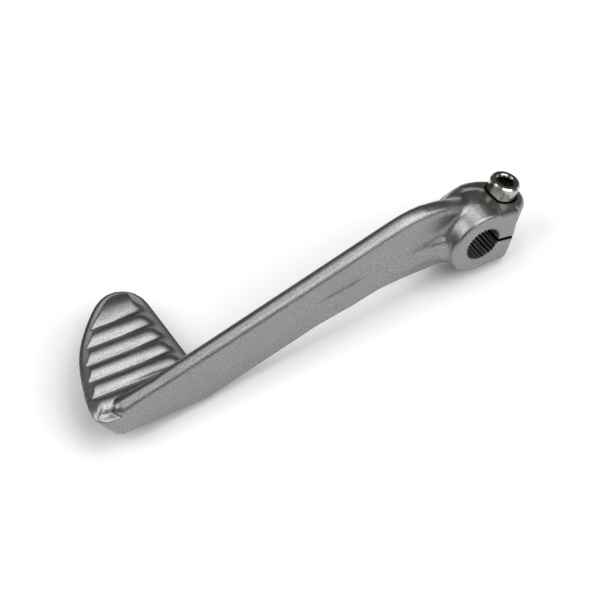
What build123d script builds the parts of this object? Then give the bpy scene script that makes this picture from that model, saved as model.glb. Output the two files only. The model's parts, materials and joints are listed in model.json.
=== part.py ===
# Kick start lever: a die-cast splined clamp hub, a curved arm and a ridged foot pad in one piece,
# with one socket head screw that pinches the hub on its shaft.
# Frame in mm: origin at the middle of the splined bore, Y along the bore (engine side at -Y),
# X from the pad towards the hub, Z up with the lever standing on its hub and heel.
import math
import os

from build123d import *

# Splined clamp hub
hub_width = 18.6            # along the bore
hub_face_r = 11.6           # outer radius at the engine-side face
hub_waist_r = 12.7          # outer radius where the arm leaves, gives the moulding draft
hub_back_r = 9.0            # outer radius at the outer face
hub_edge = 0.7              # bevel round the engine-side face
hub_back_edge = 1.2         # bevel round the outer face
arm_flare = 4.4             # hollow rounding from the hub onto the arm's face
arm_flare_aim = 12.0        # degrees above the pad's side where it is widest
arm_flare_sweep = 62.0      # degrees to either side over which it fades out
rib_flare = 2.6             # the same onto the rib
rib_flare_foot = -5.6       # depth at which it ends on the rib's face
rib_flare_aim = 4.0
rib_flare_sweep = 27.0
spline_teeth = 31
spline_tip_r = 6.05
spline_root_r = 6.85
spline_land = 0.46          # share of the pitch taken by a tooth's tip
spline_root_land = 0.20     # share of the pitch left flat at the root
clamp_tilt = 20.0           # degrees that the slit points below X
slit_width = 1.3
lug_reach = 13.3            # flat of the lugs, measured along the slit
lug_top_reach = 11.4        # the upper lug leans in to this
lug_depth = 9.8             # lower lug below the slit
lug_corner = 2.4
lug_back = 5.0              # lugs end this far behind the hub's middle

# Clamp screw and the ear it sits on
screw_reach = 10.6          # screw axis from the bore axis
screw_back = 0.7            # screw axis behind the hub's middle
seat_height = 10.25         # head seat above the slit
counterbore_d = 11.0
counterbore_depth = 0.75
ear_reach = 11.2            # middle of the ear's round end from the bore axis
ear_back = -0.1
ear_r = 7.5
ear_root = -9.5             # the ear starts here beside the arm
ear_root_back = 5.2
ear_belly = 1.5             # its outer side bulges most here
ear_belly_back = 9.2
ear_round = 2.0
screw_d = 6.0
screw_length = 20.0
screw_point = 0.8           # chamfer at the screw's tip
clearance_d = 6.6
thread_play = 0.05
head_d = 10.0
head_height = 6.0
head_round = 0.55
socket_flats = 5.0
socket_depth = 3.2
socket_lead_in = 0.35

# Arm
arm_front = -3.0            # plane of the flat engine-side face
arm_thick_hub = 6.2
arm_thick_pad = 5.6         # at the heel
arm_top_front = 3.0         # top edge rounding on the flat side
arm_top_back = 2.3          # the same on the outer side
arm_low_edge = 0.9          # bevel along the lower edge
heel_x = -100.0             # where the lower edge breaks to run under the pad
heel_z = -13.5
crest_x = -58.0             # lower edge starts to arch here
crest_z = -6.5
root_x = -7.0               # and meets the hub here
root_z = -10.2
neck_x = -110.0             # top edge is straight from here
neck_z = 6.4
bend_x = -28.0              # to here, then bends down to the hub
bend_z = 19.85
shoulder_x = -4.0
shoulder_z = 14.9
hub_top_x = 4.0             # and ends level with the hub's round
hub_top_z = 11.9
tip_x = -132.4
tip_top = 0.15
tip_low = -8.75
tip_round = 3.5

# Rib that carries the hub's side into the arm
rib_draft = 50.0            # degrees on its upper wall
rib_edge = 0.9
rib_root = 2.5              # the rib starts this far inside the arm

# Foot pad
pad_right = -99.05          # straight edge, parallel to the bore
pad_left = -137.5
pad_tip = 43.6              # far end along the bore
pad_slope = 10.7            # degrees that the tread falls towards the hub
pad_x = -118.0              # point on the tread where its height is taken
pad_z = -0.5                # tread valleys there
pad_thick_arm = 8.1         # rim to underside beside the arm
pad_thick_tip = 3.0
pad_corner = 5.0
pad_wall_lean = 6.0         # the outer wall runs in this far over pad_thick_arm
rim_drop = 1.0              # flat rim below the valleys
rim_width = 1.0
ridge_start = 0.05          # first valley along the bore
ridge_pitch = 6.25
ridge_count = 5
ridge_rise = 1.7
tip_ridge_rise = 2.0
ridge_end_slope = 40.0      # degrees that the ridge ends lean inwards
ridge_run_out = 30.0        # degrees that they rise from the straight edge

half_width = hub_width / 2
rim_height = seat_height + counterbore_depth
tilt = math.radians(clamp_tilt)
slit_dir = (math.cos(tilt), 0, -math.sin(tilt))
screw_dir = (math.sin(tilt), 0, math.cos(tilt))
slope = math.radians(pad_slope)


def face_plane(y, direction=(1, 0, 0)):
    """Sketch plane across the bore at depth y, seen from the engine side."""
    return Plane(origin=(0, y, 0), x_dir=direction, z_dir=(0, -1, 0))


def across_arm(x, y):
    """Sketch plane across the arm at station x: local x runs along the bore, local y up."""
    return Plane(origin=(x, y, 0), x_dir=(0, 1, 0), z_dir=(1, 0, 0))


# Plane of the slit with the screw's axis as its origin
screw_plane = Plane(
    origin=(screw_reach * slit_dir[0], screw_back, screw_reach * slit_dir[2]),
    x_dir=slit_dir,
    z_dir=screw_dir,
)
slit_plane = Plane(origin=(0, 0, 0), x_dir=slit_dir, z_dir=screw_dir)

# Plane through the tread's valleys
pad_plane = Plane(
    origin=(pad_x, 0, pad_z),
    x_dir=(math.cos(slope), 0, -math.sin(slope)),
    z_dir=(math.sin(slope), 0, math.cos(slope)),
)

# Arm: side outline of long lines and easy bends
with BuildSketch() as arm_outline:
    with BuildLine():
        rise = Line((neck_x, neck_z), (bend_x, bend_z))
        over = TangentArc(rise @ 1, (shoulder_x, shoulder_z), tangent=rise % 1)
        onto_hub = TangentArc(over @ 1, (hub_top_x, hub_top_z), tangent=over % 1)
        droop = TangentArc(rise @ 0, (tip_x, tip_top), tangent=-(rise % 0))
        sole = Line((heel_x, heel_z), (crest_x, crest_z))
        arch = TangentArc(sole @ 1, (root_x, root_z), tangent=sole % 1)
        Polyline(onto_hub @ 1, (hub_top_x, 0), arch @ 1)
        Polyline(droop @ 1, (tip_x, tip_low), sole @ 0)
    make_face()
    tip_corner = arm_outline.vertices().sort_by(lambda v: v.X + v.Y)[0]
    fillet(tip_corner, radius=tip_round)

# The arm thins towards the pad, is flat on the engine side and rounded along its top
outer_side = Plane(
    origin=(0, arm_front + arm_thick_hub, 0),
    z_dir=(arm_thick_pad - arm_thick_hub, -heel_x, 0),
)
with BuildPart() as arm:
    with BuildSketch(face_plane(arm_front)):
        add(arm_outline.sketch)
    extrude(amount=-2 * arm_thick_hub)
    split(bisect_by=outer_side, keep=Keep.BOTTOM)
    low_edges = arm.faces().filter_by(lambda f: f.normal_at().Z < -0.9).edges()
    chamfer(low_edges.filter_by(lambda e: abs(e.tangent_at(0.5).Y) < 0.5), length=arm_low_edge)
    top_edges = arm.faces().filter_by(lambda f: f.normal_at().Z > 0.5).edges()
    fillet(top_edges.filter_by(lambda e: e.center().Y < arm_front + 0.01), radius=arm_top_front)
    top_edges = arm.faces().filter_by(lambda f: f.normal_at().Z > 0.5).edges()
    on_outer_side = top_edges.filter_by(lambda e: outer_side.contains(e.center()))
    fillet(on_outer_side, radius=arm_top_back)

# Hub: turned shape with moulding draft towards both faces
with BuildPart() as hub:
    with BuildSketch() as profile:
        Polygon(
            (0, -half_width),
            (hub_face_r, -half_width),
            (hub_waist_r, arm_front),
            (hub_waist_r, arm_front + arm_thick_hub),
            (hub_back_r, half_width),
            (0, half_width),
            align=None,
        )
        rims = profile.vertices().filter_by(lambda v: v.X > 1).sort_by(Axis.Y)
        chamfer(rims[0], length=hub_edge)
        chamfer(rims[-1], length=hub_back_edge)
    revolve(axis=Axis.Y)

# Lugs on both sides of the slit, flush with the hub's engine-side face
with BuildPart() as lugs:
    with BuildSketch(face_plane(-half_width, slit_dir)) as lug_outline:
        Polygon(
            (0, -lug_depth),
            (lug_reach, -lug_depth),
            (lug_reach, 0),
            (lug_top_reach, rim_height),
            (0, rim_height),
            align=None,
        )
        corner = lug_outline.vertices().sort_by(lambda v: v.X - v.Y)[-1]
        fillet(corner, radius=lug_corner)
    extrude(amount=-(half_width + lug_back))
    face_edges = lugs.edges().filter_by(lambda e: abs(e.center().Y + half_width) < 0.01)
    along_slit = face_edges.sort_by(lambda e: e.center().dot(Vector(*slit_dir)))
    chamfer(along_slit[1:], length=hub_edge)

# Ear: rounded block about the screw, its far end a half circle
with BuildPart() as ear:
    with BuildSketch(slit_plane.offset(-lug_depth)):
        with Locations((ear_reach, ear_back)):
            Circle(ear_r)
        with BuildLine():
            belly = ThreePointArc(
                (ear_root, ear_root_back),
                (ear_belly, ear_belly_back),
                (ear_reach, ear_back + ear_r),
            )
            Polyline(
                belly @ 1,
                (ear_reach, ear_back - ear_r),
                (0, ear_back - ear_r),
                (ear_root, 0),
                belly @ 0,
            )
        make_face()
    extrude(amount=lug_depth + rim_height)
    top = ear.faces().filter_by(lambda f: f.normal_at().dot(Vector(*screw_dir)) > 0.99)
    outer = top.edges().filter_by(lambda e: e.center().dot(Vector(*slit_dir)) > 0.1)
    fillet(outer, radius=ear_round)
    bottom = ear.faces().filter_by(lambda f: f.normal_at().dot(Vector(*screw_dir)) < -0.99)
    outer = bottom.edges().filter_by(lambda e: e.center().dot(Vector(*slit_dir)) > 0.1)
    chamfer(outer, length=ear_round / 2)

# Rib: leaves the hub's side and sinks into the arm,
# as station, height of its face along the bore, lower and upper edge
rib_sections = [
    (-4.0, -6.4, -5.0, 3.6),
    (-12.0, -5.7, -2.6, 5.0),
    (-20.0, -5.2, -1.0, 5.9),
    (-30.0, -4.7, -2.2, 6.3),
    (-40.0, -4.2, -4.0, 6.2),
    (-50.0, -3.7, -4.8, 5.7),
    (-60.0, -3.25, -6.0, 5.2),
    (-72.0, -2.7, -7.8, 4.6),
]
with BuildPart() as rib:
    for x, y_face, z_low, z_top in rib_sections:
        rise = arm_front + rib_root - y_face
        spread = rise * math.tan(math.radians(rib_draft))
        with BuildSketch(across_arm(x, arm_front + rib_root)) as section:
            Polygon(
                (0, z_low),
                (0, z_top + spread),
                (-rise, z_top),
                (-rise, z_low),
                align=None,
            )
            fillet(section.vertices().group_by(Axis.X)[0], radius=rib_edge)
    loft(ruled=True)

# Flares: hollow roundings from the hub onto the arm's face and onto the rib,
# off centre so that each fades out at both ends
hub_draft = (hub_waist_r - hub_face_r) / (half_width + arm_front)
with BuildPart() as flares:
    for foot_y, run, aim, sweep in (
        (arm_front, arm_flare, arm_flare_aim, arm_flare_sweep),
        (rib_flare_foot, rib_flare, rib_flare_aim, rib_flare_sweep),
    ):
        root_r = hub_waist_r - hub_draft * (arm_front - foot_y)
        reach = root_r + run - root_r * math.cos(math.radians(sweep))
        off_centre = run * (2 * root_r + run) / (2 * reach)
        foot_r = root_r + run - off_centre
        turn = math.radians(aim)
        centre = (-off_centre * math.cos(turn), 0, off_centre * math.sin(turn))
        with BuildSketch(Plane(origin=centre)):
            with BuildLine():
                foot = (foot_r, foot_y)
                crest = (foot_r - run - hub_draft * run, foot_y - run)
                TangentArc(foot, crest, tangent=(-1, 0))
                Polyline(crest, (0, foot_y - run), (0, 0), (foot_r, 0), foot)
            make_face()
        revolve(axis=Axis(centre, (0, 1, 0)))

# Pad: leaf-shaped tongue whose outer wall leans in under the rim and thins towards the tip
u_right = (pad_right - pad_x) / math.cos(slope)
u_left = (pad_left - pad_x) / math.cos(slope)
leaves = []
with BuildPart() as tongue:
    for depth in (1.3 * pad_thick_arm, 0.0):
        lean = pad_wall_lean * depth / pad_thick_arm
        with BuildSketch(pad_plane.offset(-rim_drop - depth)) as leaf:
            with BuildLine():
                side = Line((u_right, arm_front), (u_right, pad_tip - 10 - lean))
                edge = Spline(
                    side @ 1,
                    (17.9 - 0.1 * lean, pad_tip - 4 - lean),
                    (10.3, pad_tip - lean),
                    (-0.8 + 0.6 * lean, pad_tip - 6.5 - 0.8 * lean),
                    (-10.5 + 0.8 * lean, 25.8 - 0.5 * lean),
                    (-16.4 + lean, 13.4 - 0.4 * lean),
                    (u_left + lean, 1.0),
                    tangents=((0, 1), (0, -1)),
                    tangent_scalars=(0.5, 0.5),
                )
                turn = TangentArc(edge @ 1, (u_left + lean + pad_corner, arm_front), tangent=edge % 1)
                Line(turn @ 1, side @ 0)
            make_face()
        leaves.append(leaf.sketch_local)
    loft(ruled=True)
    # The underside runs in line with the arm's lower edge and rises towards the tip
    sole_slope = math.atan2(tip_low - heel_z, heel_x - tip_x)
    under = Plane(
        origin=pad_plane.from_local_coords((0, arm_front, -rim_drop - pad_thick_arm)),
        x_dir=(math.cos(sole_slope), 0, -math.sin(sole_slope)),
        z_dir=(math.sin(sole_slope), 0, math.cos(sole_slope)),
    )
    thinning = math.atan2(pad_thick_arm - pad_thick_tip, pad_tip - arm_front)
    split(bisect_by=under.rotated((math.degrees(thinning), 0, 0)), keep=Keep.TOP)

# Tread: rounded ridges across the pad and a broad dome at the tip
with BuildPart() as tread:
    with BuildSketch(Plane(
        origin=pad_plane.from_local_coords((u_left, 0, 0)),
        x_dir=(0, 1, 0),
        z_dir=pad_plane.x_dir,
    )):
        with BuildLine():
            v = ridge_start
            for _ in range(ridge_count):
                SagittaArc((v, 0), (v + ridge_pitch, 0), ridge_rise)
                v += ridge_pitch
            dome = SagittaArc((v, 0), (pad_tip, -rim_drop), tip_ridge_rise)
            Polyline(
                dome @ 1,
                (pad_tip, -2 * rim_drop),
                (ridge_start, -2 * rim_drop),
                (ridge_start, 0),
            )
        make_face()
    extrude(amount=u_right - u_left)

# Volume inside the rim, leaning in upwards, that ends the ridges
bound_height = rim_drop + tip_ridge_rise + ridge_rise
with BuildPart() as bound:
    for height in (-rim_drop / 2, bound_height):
        with BuildSketch(pad_plane.offset(height - rim_drop)):
            add(leaves[1])
            offset(
                amount=-rim_width - height * math.tan(math.radians(ridge_end_slope)),
                mode=Mode.REPLACE,
            )
    loft(ruled=True)
    # The ridges run out gently towards the straight edge
    run_out = slope + math.radians(ridge_run_out)
    split(
        bisect_by=Plane(
            origin=pad_plane.from_local_coords((u_right - rim_width, 0, -rim_drop)),
            z_dir=(math.sin(run_out), 0, math.cos(run_out)),
        ),
        keep=Keep.BOTTOM,
    )

with BuildPart() as lever:
    add(tread.part)
    add(bound.part, mode=Mode.INTERSECT)
    add(tongue.part)
    add(arm.part)
    add(hub.part)
    add(lugs.part)
    add(ear.part)
    add(rib.part)
    add(flares.part)
    # Splined bore
    with BuildSketch(face_plane(-half_width, slit_dir)):
        Circle(spline_tip_r)
        pitch = 360.0 / spline_teeth
        mouth = math.radians(pitch * (1 - spline_land) / 2)
        floor = math.radians(pitch * spline_root_land / 2)
        mouth_x = spline_tip_r * math.cos(mouth)
        mouth_y = spline_tip_r * math.sin(mouth)
        floor_x = spline_root_r * math.cos(floor)
        floor_y = spline_root_r * math.sin(floor)
        with PolarLocations(0, spline_teeth):
            Polygon(
                (0.9 * mouth_x, -mouth_y),
                (mouth_x, -mouth_y),
                (floor_x, -floor_y),
                (floor_x, floor_y),
                (mouth_x, mouth_y),
                (0.9 * mouth_x, mouth_y),
                align=None,
            )
    extrude(amount=-hub_width, mode=Mode.SUBTRACT)
    # Clamp slit from the bore out through the lugs
    with BuildSketch(face_plane(-half_width, slit_dir)):
        with Locations((ear_reach + ear_r, 0)):
            Rectangle(2 * (ear_reach + ear_r), slit_width)
    extrude(amount=-hub_width, mode=Mode.SUBTRACT)
    # Screw seat, clearance hole above the slit and tapped hole below it
    with BuildSketch(screw_plane.offset(seat_height)):
        Circle(counterbore_d / 2)
    extrude(amount=head_height, mode=Mode.SUBTRACT)
    with BuildSketch(screw_plane):
        Circle(clearance_d / 2)
    extrude(amount=seat_height, mode=Mode.SUBTRACT)
    with BuildSketch(screw_plane):
        Circle(screw_d / 2 + thread_play)
    extrude(amount=-lug_depth - ear_round, mode=Mode.SUBTRACT)

# Socket head screw
with BuildPart() as clamp_screw:
    with BuildSketch(screw_plane.offset(seat_height)):
        Circle(head_d / 2)
    extrude(amount=head_height)
    crown = clamp_screw.edges().filter_by(GeomType.CIRCLE).sort_by(Axis.Z)[-1]
    chamfer(crown, length=head_round)
    with BuildSketch(screw_plane.offset(seat_height)):
        Circle(screw_d / 2)
    extrude(amount=-screw_length)
    tip = clamp_screw.edges().filter_by(GeomType.CIRCLE).sort_by(Axis.Z)[0]
    chamfer(tip, length=screw_point)
    with BuildSketch(screw_plane.offset(seat_height + head_height)):
        RegularPolygon(radius=socket_flats / 2, side_count=6, major_radius=False)
    extrude(amount=-socket_depth, mode=Mode.SUBTRACT)
    # Lead-in cone at the socket's mouth
    with BuildSketch(screw_plane.offset(seat_height + head_height)):
        Circle(socket_flats / math.sqrt(3) + socket_lead_in)
    with BuildSketch(screw_plane.offset(seat_height + head_height - 2 * socket_lead_in)):
        Circle(socket_flats / math.sqrt(3) - socket_lead_in)
    loft(mode=Mode.SUBTRACT)

os.makedirs("parts", exist_ok=True)
lever.part.label = "lever"
export_step(lever.part, "parts/lever.step")
clamp_screw.part.label = "clamp_screw"
export_step(clamp_screw.part, "parts/clamp_screw.step")
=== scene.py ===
import json
import math

import bpy
from mathutils import Matrix, Vector

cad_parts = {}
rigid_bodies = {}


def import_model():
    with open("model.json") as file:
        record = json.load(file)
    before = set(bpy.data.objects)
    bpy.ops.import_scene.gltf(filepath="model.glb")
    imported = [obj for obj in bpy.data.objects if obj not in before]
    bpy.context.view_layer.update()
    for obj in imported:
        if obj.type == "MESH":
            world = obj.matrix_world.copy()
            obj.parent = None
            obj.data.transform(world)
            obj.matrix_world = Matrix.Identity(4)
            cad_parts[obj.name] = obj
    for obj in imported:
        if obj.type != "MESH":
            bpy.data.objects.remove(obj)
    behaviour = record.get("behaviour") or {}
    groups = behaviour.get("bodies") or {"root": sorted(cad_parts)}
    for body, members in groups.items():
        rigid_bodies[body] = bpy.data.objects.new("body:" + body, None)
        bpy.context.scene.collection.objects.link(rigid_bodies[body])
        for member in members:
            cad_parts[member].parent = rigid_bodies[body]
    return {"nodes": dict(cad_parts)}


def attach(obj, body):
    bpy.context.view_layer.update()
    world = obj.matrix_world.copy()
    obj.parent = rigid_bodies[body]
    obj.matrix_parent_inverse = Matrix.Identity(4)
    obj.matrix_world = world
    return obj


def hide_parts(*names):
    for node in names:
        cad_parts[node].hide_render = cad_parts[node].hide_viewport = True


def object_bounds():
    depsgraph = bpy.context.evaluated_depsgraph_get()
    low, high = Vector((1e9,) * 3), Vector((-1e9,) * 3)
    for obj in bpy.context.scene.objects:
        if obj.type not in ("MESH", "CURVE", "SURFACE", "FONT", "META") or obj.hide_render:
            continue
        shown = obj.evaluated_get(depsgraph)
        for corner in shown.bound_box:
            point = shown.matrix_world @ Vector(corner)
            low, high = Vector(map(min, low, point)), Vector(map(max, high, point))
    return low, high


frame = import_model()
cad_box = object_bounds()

MM = 0.001                  # sizes below are in millimetres, unless they say otherwise

# Machined places of the casting
BORE_MIDDLE = (0, 0, 0)
BORE_WAY = (0, 1, 0)
BORE_TIP_R = 6.05           # over the tips of the broached teeth
BORE_ROOT_R = 6.85          # over their roots
BORE_MOUTH = 8.5            # half the bore's length, short of its two mouths
CLAMP_TILT = math.radians(20.0)     # the slit points this far below X
SLIT_WAY = (math.cos(CLAMP_TILT), 0.0, -math.sin(CLAMP_TILT))
SLIT_WIDTH = 1.3
SCREW_WAY = (math.sin(CLAMP_TILT), 0.0, math.cos(CLAMP_TILT))
SCREW_REACH = 10.6          # screw axis from the bore axis, along the slit
SCREW_BACK = 0.7            # and from the bore's middle, along the bore
SCREW_MIDDLE = (SCREW_REACH * SLIT_WAY[0], SCREW_BACK, SCREW_REACH * SLIT_WAY[2])
SEAT_R = 5.5                # recess round the screw's head
SOCKET_R = 2.9              # hexagon in the screw's head, over its corners
MACHINED_RIM = 0.5          # the machined edges stay crisp this far out

# Hub, whose foot and top flow into the arm
HUB_R = 12.0
HUB_FACE = -9.3             # engine-side face along the bore
FOOT_IN = 1.5               # the foot's blend reaches this far inside the hub's radius
FOOT_OUT = 7.0              # and this far outside it
FOOT_RIGHT = 2.0
FOOT_FRONT = 1.2            # it keeps this far from the hub's face
FOOT_BACK = 1.5             # and ends this far behind the arm's face, where the top's blend starts
HUB_TOP_LEFT = -16.0
HUB_TOP_RIGHT = 3.0
HUB_TOP_LOW = 9.0

# Arm, with the rib on its face and its rounded end over the pad
ARM_FRONT = -3.0            # flat face of the arm
ARM_MIDDLE = 0.0
ARM_TIP = -131.5            # the arm flows into the pad from here to its end
TIP_FADE = 2.0
NUB_R = 3.2                 # rounded end of the arm's top
NUB_TAPER = 0.7             # its radius where it starts inside the arm, as a share
NUB_START = Vector((-104.0, -0.5, 4.7))
NUB_END = Vector((-128.0, 0.2, 0.6))
RIB_LINE = -34.0            # the rib is a soft step from the hub to here, and a fine line beyond
RIB_LINE_FADE = 12.0        # the step turns into the line over this length
RIB_LINE_DEPTH = 0.2        # the line reaches this far behind the arm's face
RIB_STEP_DEPTH = 0.3        # and the step this far
RIB_STEP_START = 2.0        # the step is soft from this far outside the hub
RIB_STEP_FULL = 8.0         # and at its softest from this far
RIB_SUNK = 0.4              # the step stands this share lower than the solid's rib
RIB_SINK_START = 4.0        # it sinks from this far outside the hub
RIB_SINK_FULL = 16.0        # and is at its lowest from this far
RIB_RISE = 16.0             # where the line starts, it rises again over this length

# Pad and the ridges of its tread
PAD_RIGHT = -99.05          # straight edge of the pad
PAD_RIM = 0.8               # rim along that edge, which doesn't fade
PAD_UNDER = -6.0            # the tread lies above this height
PAD_START = 7.0             # the open tread, clear behind the arm, starts here
TREAD_START = 1.0           # the ridges keep more of their edges from here on
LAST_RIDGE = 32.0
LAST_RIDGE_FADE = 4.0
RUN_OUT = 14.0              # the ridges start to fade this far from the straight edge
RUN_OUT_END = 3.0           # and have faded this far from it

# Skin of the casting
WELD = 0.002                # corners of the solid's mesh that lie this near are one
SKIN_STEP = 0.2             # mesh size before it is thinned
SKIN_TRIANGLES = 180000
EDGE_PASSES = 35            # smoothing that rounds the edges
BLEND_PASSES = 200          # that makes the wide blends
FADE_PASSES = 500           # and that lets the low forms fade
TREAD_EDGE = 0.5            # share of the rounding that the tread gets
RIB_EDGE = 0.15             # and the rib's fine line

# How far the painted shade of the machined places, and the painted highlight on the teeth's tips,
# fades into the skin
TOOTH_GLINT_HEIGHT = 0.1             # height of a tooth's tip that gets the painted highlight
GLINT_TO_SHADE_FADE = 0.5
MOUTH_SHADE_FADE = 0.3
SLIT_SHADE_FADE = 0.05
SEAT_SHADE_FADE = 0.15

FLOOR_SIZE = 6.0            # in metres
PALE_SIDE = (-0.30, -0.80, 0.52)    # the room is pale in front of the lever and dark behind it

# Camera, read from the round faces in the photograph
CAMERA_AIM = Vector((-60.5, 4.8, 0.0)) * MM
CAMERA_AZIMUTH = -29.55
CAMERA_ELEVATION = 52.49
CAMERA_ROLL = -3.7
CAMERA_DISTANCE = 692.2 * MM
CAMERA_LENS = 132.0
CAMERA_SENSOR = 36.0


def linear(hex_colour):
    """sRGB hex to a linear RGBA colour."""
    values = [int(hex_colour[i:i + 2], 16) / 255 for i in (1, 3, 5)]
    return [v / 12.92 if v <= 0.04045 else ((v + 0.055) / 1.055) ** 2.4 for v in values] + [1.0]


def add_node(tree, kind, links=None, **settings):
    """Add a node: settings name its properties or inputs, links give the sockets that feed it."""
    node = tree.nodes.new(kind)
    for name, value in settings.items():
        if hasattr(node, name):
            setattr(node, name, value)
        else:
            node.inputs[name.replace("_", " ")].default_value = value
    for name, source in (links or {}).items():
        tree.links.new(source, node.inputs[name])
    return node


def new_material(name):
    """An empty node material."""
    material = bpy.data.materials.new(name)
    material.use_nodes = True
    material.node_tree.nodes.clear()
    return material, material.node_tree


def stays_crisp(point):
    """True in the machined places: the bore, the slit and the screw's seat."""
    along_slit = point.dot(Vector(SLIT_WAY))
    above_slit = point.dot(Vector(SCREW_WAY))
    bore = math.hypot(point.x, point.z) < (BORE_ROOT_R + MACHINED_RIM) * MM
    slit = along_slit > 0 and abs(above_slit) < (SLIT_WIDTH / 2 + MACHINED_RIM) * MM
    from_screw = math.hypot(along_slit - SCREW_REACH * MM, point.y - SCREW_BACK * MM)
    seat = above_slit > 0 and from_screw < (SEAT_R + MACHINED_RIM) * MM
    return bore or slit or seat


def ramp(value, start, end):
    """Nought before start, one after end, even in between, in either direction."""
    return min(max((value - start) / (end - start), 0.0), 1.0)


def edge_share(point):
    """How far edges are rounded: not where they are machined, less on the rib and the tread."""
    if stays_crisp(point):
        return 0.0
    x, y, z = point / MM
    if PAD_RIGHT < x < RIB_LINE and y < ARM_FRONT + RIB_LINE_DEPTH:
        return RIB_EDGE
    tread = x < PAD_RIGHT and y > TREAD_START and z > PAD_UNDER
    return TREAD_EDGE if tread else 1.0


def blend_share(point):
    """How far the casting flows together: at the hub's foot and top, and at the arm's tip."""
    if stays_crisp(point):
        return 0.0
    x, y, z = point / MM
    round_hub = HUB_R - FOOT_IN < math.hypot(x, z) < HUB_R + FOOT_OUT and x < FOOT_RIGHT
    foot = round_hub and HUB_FACE + FOOT_FRONT < y < ARM_FRONT + FOOT_BACK
    over_hub = HUB_TOP_LEFT < x < HUB_TOP_RIGHT and z > HUB_TOP_LOW
    hub_top = over_hub and y > ARM_FRONT + FOOT_BACK
    if foot or hub_top:
        return 1.0
    return ramp(x, ARM_TIP, ARM_TIP - TIP_FADE) * ramp(y, PAD_START, ARM_MIDDLE)


def fade_share(point):
    """How far low forms fade: the rib near the hub, and the ridges at the straight edge."""
    x, y, z = point / MM
    if y < ARM_FRONT + RIB_STEP_DEPTH:
        from_hub = ramp(x, -HUB_R - RIB_STEP_START, -HUB_R - RIB_STEP_FULL)
        return ramp(x, RIB_LINE - RIB_LINE_FADE, RIB_LINE) * from_hub
    if y > PAD_START and z > PAD_UNDER and x < PAD_RIGHT - PAD_RIM:
        among_ridges = ramp(y, LAST_RIDGE + LAST_RIDGE_FADE, LAST_RIDGE)
        return ramp(x, PAD_RIGHT - RUN_OUT, PAD_RIGHT - RUN_OUT_END) * among_ridges
    return 0.0


def sunk_depth(point):
    """A point's Y once the rib's soft step is lower and nothing stands past the hub's face."""
    x, y = (point / MM).xy
    if y < ARM_FRONT:
        from_hub = ramp(x, -HUB_R - RIB_SINK_START, -HUB_R - RIB_SINK_FULL)
        y -= (y - ARM_FRONT) * RIB_SUNK * from_hub * ramp(x, RIB_LINE - RIB_RISE, RIB_LINE)
    return max(y, HUB_FACE) * MM


def soften(casting, name, share, iterations):
    """Smooth the casting's skin by each point's share."""
    group = casting.vertex_groups.new(name=name)
    shares = {}
    for vertex in casting.data.vertices:
        shares.setdefault(round(share(vertex.co), 2), []).append(vertex.index)
    for weight, indices in shares.items():
        if weight > 0:
            group.add(indices, weight, "REPLACE")
    smooth = casting.modifiers.new(name, "SMOOTH")
    smooth.factor = 0.5
    smooth.iterations = iterations
    smooth.vertex_group = group.name
    bpy.ops.object.modifier_apply(modifier=smooth.name)


def add_nub(casting):
    """Run the arm's rounded top on over the pad, as a round bar that joins the copy."""
    reach = (NUB_END - NUB_START) * MM
    bpy.ops.object.select_all(action="DESELECT")
    bpy.ops.mesh.primitive_uv_sphere_add(segments=48, ring_count=24, radius=NUB_R * MM)
    nub = bpy.context.object
    bpy.ops.object.mode_set(mode="EDIT")
    bpy.ops.mesh.select_all(action="DESELECT")
    bpy.ops.object.mode_set(mode="OBJECT")
    for vertex in nub.data.vertices:
        vertex.select = vertex.co.dot(reach) > 0
    bpy.ops.object.mode_set(mode="EDIT")
    bpy.ops.transform.translate(value=reach)
    bpy.ops.mesh.select_all(action="INVERT")
    bpy.ops.transform.resize(value=(NUB_TAPER,) * 3, center_override=(0, 0, 0))
    bpy.ops.mesh.select_all(action="SELECT")
    bpy.ops.transform.translate(value=NUB_START * MM)
    bpy.ops.object.mode_set(mode="OBJECT")
    casting.select_set(True)
    bpy.context.view_layer.objects.active = casting
    bpy.ops.object.join()


def soft_casting():
    """The lever with a casting's soft edges and corners, on a copy of its CAD node."""
    node = frame["nodes"]["lever"]
    bpy.ops.object.select_all(action="DESELECT")
    node.select_set(True)
    bpy.context.view_layer.objects.active = node
    bpy.ops.object.duplicate()
    casting = bpy.context.object
    casting.name = "lever_casting"
    bpy.ops.object.parent_clear(type="CLEAR_KEEP_TRANSFORM")
    bpy.ops.object.transform_apply(location=True, rotation=True, scale=True)
    bpy.ops.object.mode_set(mode="EDIT")
    bpy.ops.mesh.select_all(action="SELECT")
    bpy.ops.mesh.remove_doubles(threshold=WELD * MM)
    bpy.ops.object.mode_set(mode="OBJECT")
    add_nub(casting)

    skin = casting.modifiers.new("even_skin", "REMESH")
    skin.mode = "VOXEL"
    skin.voxel_size = SKIN_STEP * MM
    bpy.ops.object.modifier_apply(modifier=skin.name)
    soften(casting, "soft_edges", edge_share, EDGE_PASSES)
    soften(casting, "wide_blends", blend_share, BLEND_PASSES)
    soften(casting, "fading_forms", fade_share, FADE_PASSES)
    thin = casting.modifiers.new("fewer_triangles", "DECIMATE")
    thin.ratio = SKIN_TRIANGLES / (2 * len(casting.data.polygons))
    bpy.ops.object.modifier_apply(modifier=thin.name)
    for vertex in casting.data.vertices:
        vertex.co.y = sunk_depth(vertex.co)
    bpy.ops.object.shade_smooth()
    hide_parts("lever")
    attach(casting, "root")
    return casting


def dress(piece, material):
    """Give a piece one material all over."""
    piece.data.materials.clear()
    piece.data.materials.append(material)


def off_axis(tree, place, origin, way):
    """Distance of a point from a line, in metres."""
    reach = add_node(tree, "ShaderNodeVectorMath", {0: place}, operation="SUBTRACT")
    reach.inputs[1].default_value = [v * MM for v in origin]
    across = add_node(tree, "ShaderNodeVectorMath", {0: reach.outputs["Vector"]},
                      operation="CROSS_PRODUCT")
    across.inputs[1].default_value = way
    length = add_node(tree, "ShaderNodeVectorMath", {0: across.outputs["Vector"]},
                      operation="LENGTH")
    return length.outputs["Value"]


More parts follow.
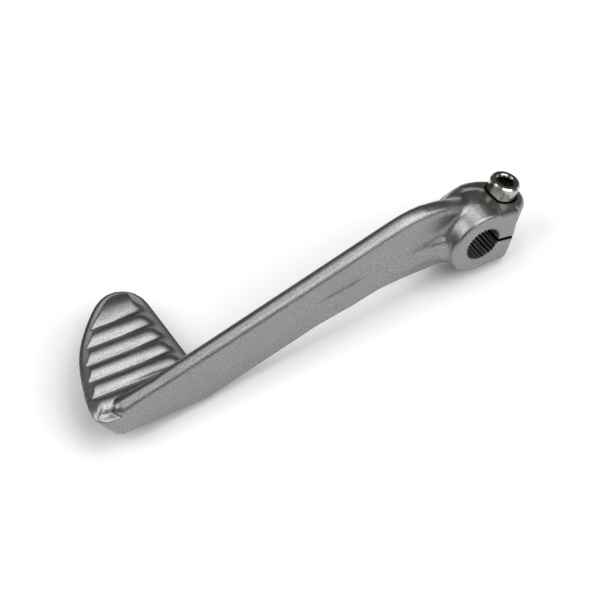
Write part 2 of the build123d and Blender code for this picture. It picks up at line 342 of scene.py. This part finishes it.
def along(tree, place, way):
    """How far a point lies in one direction, in metres."""
    measure = add_node(tree, "ShaderNodeVectorMath", {0: place}, operation="DOT_PRODUCT")
    measure.inputs[1].default_value = way
    return measure.outputs["Value"]


def inside(tree, distance, limit_mm, fade_mm=0.1):
    """One where a distance is under its limit, nought beyond it."""
    step = add_node(tree, "ShaderNodeMapRange", {"Value": distance}, From_Min=limit_mm * MM,
                    From_Max=(limit_mm + fade_mm) * MM, To_Min=1.0, To_Max=0.0)
    return step.outputs["Result"]


def bore_and_slit(tree, place):
    """One in the bore and the slit, nought on the open skin."""
    depth = add_node(tree, "ShaderNodeMath", {0: along(tree, place, BORE_WAY)},
                     operation="ABSOLUTE")
    bore = add_node(tree, "ShaderNodeMath", {
        0: inside(tree, off_axis(tree, place, BORE_MIDDLE, BORE_WAY), BORE_ROOT_R),
        1: inside(tree, depth.outputs["Value"], BORE_MOUTH, MOUTH_SHADE_FADE),
    }, operation="MULTIPLY")
    height = add_node(tree, "ShaderNodeMath", {0: along(tree, place, SCREW_WAY)},
                      operation="ABSOLUTE")
    level = inside(tree, height.outputs["Value"], SLIT_WIDTH / 2, SLIT_SHADE_FADE)
    before = inside(tree, along(tree, place, SLIT_WAY), 0.0)
    slit = add_node(tree, "ShaderNodeMath", {0: level, 1: before},
                    operation="SUBTRACT", use_clamp=True)
    both = add_node(tree, "ShaderNodeMath", {
        0: bore.outputs["Value"],
        1: slit.outputs["Value"],
    }, operation="MAXIMUM")
    return both.outputs["Value"]


def screw_seat(tree, place):
    """One in the recess round the screw's head, nought elsewhere."""
    from_screw = off_axis(tree, place, SCREW_MIDDLE, SCREW_WAY)
    round_screw = inside(tree, from_screw, SEAT_R, SEAT_SHADE_FADE)
    below = inside(tree, along(tree, place, SCREW_WAY), 0.0)
    seat = add_node(tree, "ShaderNodeMath", {0: round_screw, 1: below},
                    operation="SUBTRACT", use_clamp=True)
    return seat.outputs["Value"]


# Die-cast aluminium, shot-blasted: satin grey metal with a fine grain that sparkles a little,
# broad soft highlights along rounded edges, painted shade in the bore, the slit and the recess
# round the screw's head, and a painted highlight on the tips of the bore's teeth.
def die_cast_aluminium():
    grain_mm = 0.42         # the blast leaves finer pits, drawn this coarse so that they show
    cloud_mm = 9.0
    material, tree = new_material("die_cast_aluminium_shot_blasted")
    place = add_node(tree, "ShaderNodeTexCoord").outputs["Object"]
    grain = add_node(tree, "ShaderNodeTexNoise", {"Vector": place},
                     Scale=1 / (grain_mm * MM), Detail=2.0, Roughness=0.6)
    cloud = add_node(tree, "ShaderNodeTexNoise", {"Vector": place},
                     Scale=1 / (cloud_mm * MM), Detail=2.0)
    speck = add_node(tree, "ShaderNodeMapRange", {"Value": grain.outputs["Fac"]},
                     From_Min=0.3, From_Max=0.7)
    skin_tone = add_node(tree, "ShaderNodeMix", {"Factor": speck.outputs["Result"]},
                         data_type="RGBA")
    skin_tone.inputs["A"].default_value = linear("#727473")
    skin_tone.inputs["B"].default_value = linear("#a0a2a1")
    from_bore = off_axis(tree, place, BORE_MIDDLE, BORE_WAY)
    # Painted light in the bore: painted shade in the roots of its teeth, painted highlight on their
    # tips
    tooth_shade_and_glint = add_node(tree, "ShaderNodeMix", {
        "Factor": inside(tree, from_bore, BORE_TIP_R + TOOTH_GLINT_HEIGHT, GLINT_TO_SHADE_FADE),
    }, data_type="RGBA")
    tooth_shade_and_glint.inputs["A"].default_value = linear("#1e1e1d")
    tooth_shade_and_glint.inputs["B"].default_value = linear("#c2c2bd")
    # The painted shade and highlight go into the bore and the slit; the slit gets the painted shade
    # of the roots
    inner_painted_light = add_node(tree, "ShaderNodeMix", {
        "Factor": bore_and_slit(tree, place),
        "A": skin_tone.outputs["Result"],
        "B": tooth_shade_and_glint.outputs["Result"],
    }, data_type="RGBA")
    # Painted shade in the recess round the screw's head
    tone_with_painted_light = add_node(tree, "ShaderNodeMix", {
        "Factor": screw_seat(tree, place),
        "A": inner_painted_light.outputs["Result"],
    }, data_type="RGBA")
    tone_with_painted_light.inputs["B"].default_value = linear("#262625")
    rough = add_node(tree, "ShaderNodeMapRange", {"Value": cloud.outputs["Fac"]},
                     From_Min=0.3, From_Max=0.7, To_Min=0.30, To_Max=0.38)
    bump = add_node(tree, "ShaderNodeBump", {"Height": grain.outputs["Fac"]},
                    Strength=0.8, Distance=0.06 * MM)
    skin = add_node(tree, "ShaderNodeBsdfPrincipled", {
        "Base Color": tone_with_painted_light.outputs["Result"],
        "Roughness": rough.outputs["Result"],
        "Normal": bump.outputs["Normal"],
    }, Metallic=1.0)
    add_node(tree, "ShaderNodeOutputMaterial", {"Surface": skin.outputs["BSDF"]})
    return material


# Nickel-plated steel: bright, slightly warm mirror with a faint haze, and painted shade in the
# socket.
def nickel_plated_steel():
    haze_mm = 1.5
    material, tree = new_material("nickel_plated_steel")
    place = add_node(tree, "ShaderNodeTexCoord").outputs["Object"]
    haze = add_node(tree, "ShaderNodeTexNoise", {"Vector": place},
                    Scale=1 / (haze_mm * MM), Detail=2.0)
    rough = add_node(tree, "ShaderNodeMapRange", {"Value": haze.outputs["Fac"]},
                     To_Min=0.12, To_Max=0.24)
    # Painted shade in the screw's hexagon socket
    tone_with_painted_light = add_node(tree, "ShaderNodeMix", {
        "Factor": inside(tree, off_axis(tree, place, SCREW_MIDDLE, SCREW_WAY), SOCKET_R),
    }, data_type="RGBA")
    tone_with_painted_light.inputs["A"].default_value = linear("#b0aca2")
    tone_with_painted_light.inputs["B"].default_value = linear("#64625c")
    plate = add_node(tree, "ShaderNodeBsdfPrincipled", {
        "Base Color": tone_with_painted_light.outputs["Result"],
        "Roughness": rough.outputs["Result"],
    }, Metallic=1.0)
    add_node(tree, "ShaderNodeOutputMaterial", {"Surface": plate.outputs["BSDF"]})
    return material


def studio():
    """White floor under the lever, soft lamps and a pale world."""
    floor_z = cad_box[0][2]
    bpy.ops.object.select_all(action="DESELECT")
    bpy.ops.mesh.primitive_plane_add(size=FLOOR_SIZE, location=(0, 0, floor_z))
    floor = bpy.context.object
    floor.name = "floor"
    # White paper: matt and even, so that it shows only the lever's soft shadow
    paper, tree = new_material("white_paper")
    sheet = add_node(tree, "ShaderNodeBsdfDiffuse")
    sheet.inputs["Color"].default_value = linear("#fcfcfc")
    add_node(tree, "ShaderNodeOutputMaterial", {"Surface": sheet.outputs["BSDF"]})
    floor.data.materials.append(paper)

    world = bpy.data.worlds.new("studio")
    bpy.context.scene.world = world
    world.use_nodes = True
    tree = world.node_tree
    tree.nodes.clear()
    way = add_node(tree, "ShaderNodeTexCoord").outputs["Generated"]
    forward = add_node(tree, "ShaderNodeVectorMath", {0: way}, operation="DOT_PRODUCT")
    forward.inputs[1].default_value = Vector(PALE_SIDE).normalized()
    level = add_node(tree, "ShaderNodeMapRange", {"Value": forward.outputs["Value"]},
                     From_Min=-0.4, From_Max=0.7, To_Min=0.10, To_Max=0.21)
    sky = add_node(tree, "ShaderNodeBackground", {"Strength": level.outputs["Result"]})
    sky.inputs["Color"].default_value = linear("#ffffff")
    add_node(tree, "ShaderNodeOutputWorld", {"Surface": sky.outputs["Background"]})

    # Lamp name, direction from the object, distance, size in metres and power in watts
    lamps = (
        ("front_softbox", (0.38, -0.54, 0.75), 1.0, 0.90, 7.4),
        ("overhead_softbox", (0.25, 0.14, 0.96), 1.0, 0.70, 3.2),
        ("left_softbox", (-0.60, 0.15, 0.79), 1.0, 0.70, 4.1),
    )
    for name, direction, distance, size, power in lamps:
        light = bpy.data.lights.new(name, "AREA")
        light.shape = "SQUARE"
        light.size = size
        light.energy = power
        lamp = bpy.data.objects.new(name, light)
        away = Vector(direction).normalized()
        lamp.location = CAMERA_AIM + away * distance
        lamp.rotation_euler = away.to_track_quat("Z", "Y").to_euler()
        bpy.context.scene.collection.objects.link(lamp)


def photo_camera():
    """Camera at the photograph's angle."""
    turn = (Matrix.Rotation(math.radians(CAMERA_AZIMUTH), 4, "Z")
            @ Matrix.Rotation(math.radians(90 - CAMERA_ELEVATION), 4, "X")
            @ Matrix.Rotation(math.radians(CAMERA_ROLL), 4, "Z"))
    camera = bpy.data.objects.new("photo_camera", bpy.data.cameras.new("photo_camera"))
    camera.data.lens = CAMERA_LENS
    camera.data.sensor_width = CAMERA_SENSOR
    camera.data.clip_start = 0.01
    back_off = Matrix.Translation((0, 0, CAMERA_DISTANCE))
    camera.matrix_world = Matrix.Translation(CAMERA_AIM) @ turn @ back_off
    bpy.context.scene.collection.objects.link(camera)
    bpy.context.scene.camera = camera


casting = soft_casting()
dress(casting, die_cast_aluminium())
dress(frame["nodes"]["clamp_screw"], nickel_plated_steel())
studio()
photo_camera()
bpy.context.scene.view_settings.view_transform = "Standard"
